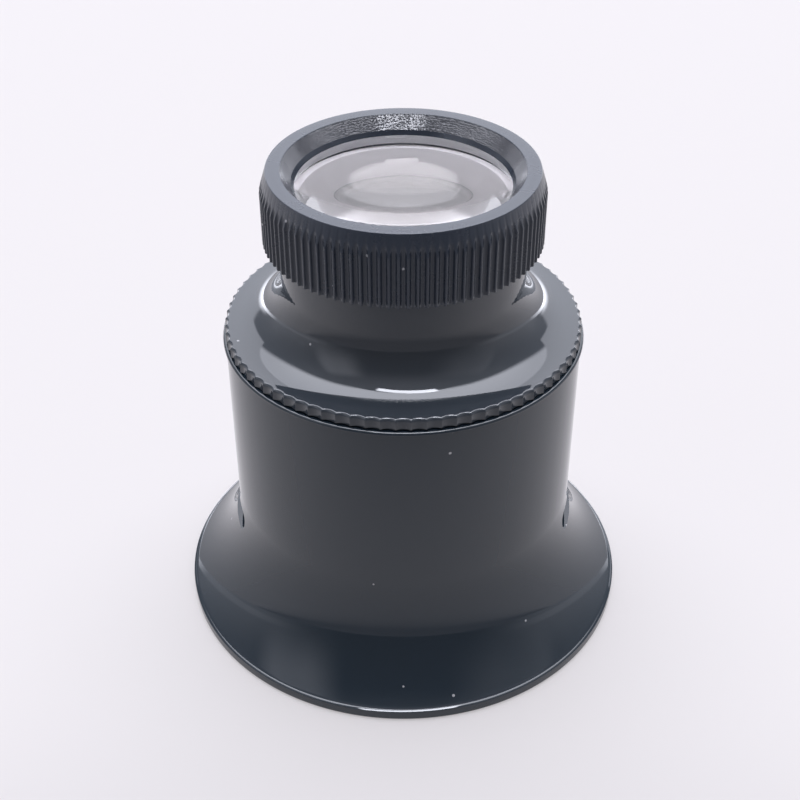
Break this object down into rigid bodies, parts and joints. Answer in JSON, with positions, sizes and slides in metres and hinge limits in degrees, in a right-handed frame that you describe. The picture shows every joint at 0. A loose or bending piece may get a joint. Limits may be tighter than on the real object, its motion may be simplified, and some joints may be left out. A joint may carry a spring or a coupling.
{
  "type": "watchmaker loupe",
  "caption": "Screw-together eye loupe with a flared eyecup, a bell-shaped shoulder cap and a knurled head ring that holds the upper lens.",
  "frame": {"origin": "centre of the circle that the eyecup's rim stands on", "axes": "+Z along the loupe's axis from the eyecup to the lens head, +X through the vent slots"},
  "size_m": [0.038, 0.038, 0.0396],
  "materials": {
    "cup_plastic": "polished moulded plastic",
    "cap_plastic": "polished moulded plastic",
    "head_plastic": "satin moulded plastic",
    "spacer_plastic": "matt black plastic",
    "lens_glass": "polished clear glass with a ground edge"
  },
  "bodies": {
    "eyecup": {"eyecup": "cup_plastic"},
    "lower_optics": {"lower_lens": "lens_glass", "lens_spacer": "spacer_plastic"},
    "shoulder_cap": {"shoulder_cap": "cap_plastic"},
    "upper_optics": {"upper_lens": "lens_glass"},
    "head_ring": {"head_ring": "head_plastic"}
  },
  "joints": [
    {"name": "cap_rise", "type": "slide", "parent": "eyecup", "child": "lower_optics", "axis": [0, 0, 1], "range_m": [0, 0.003]},
    {"name": "cap_turn", "type": "hinge", "parent": "lower_optics", "child": "shoulder_cap", "pos_m": [0, 0, 0.0254], "axis": [0, 0, 1], "range_deg": [0, 1080]},
    {"name": "head_rise", "type": "slide", "parent": "shoulder_cap", "child": "upper_optics", "axis": [0, 0, 1], "range_m": [0, 0.003]},
    {"name": "head_turn", "type": "hinge", "parent": "upper_optics", "child": "head_ring", "pos_m": [0, 0, 0.035], "axis": [0, 0, 1], "range_deg": [0, 1080]}
  ],
  "couplings": [
    {"joint": "cap_turn", "follows": "cap_rise", "rad_per_m": 6283.2},
    {"joint": "head_turn", "follows": "head_rise", "rad_per_m": 6283.2}
  ]
}
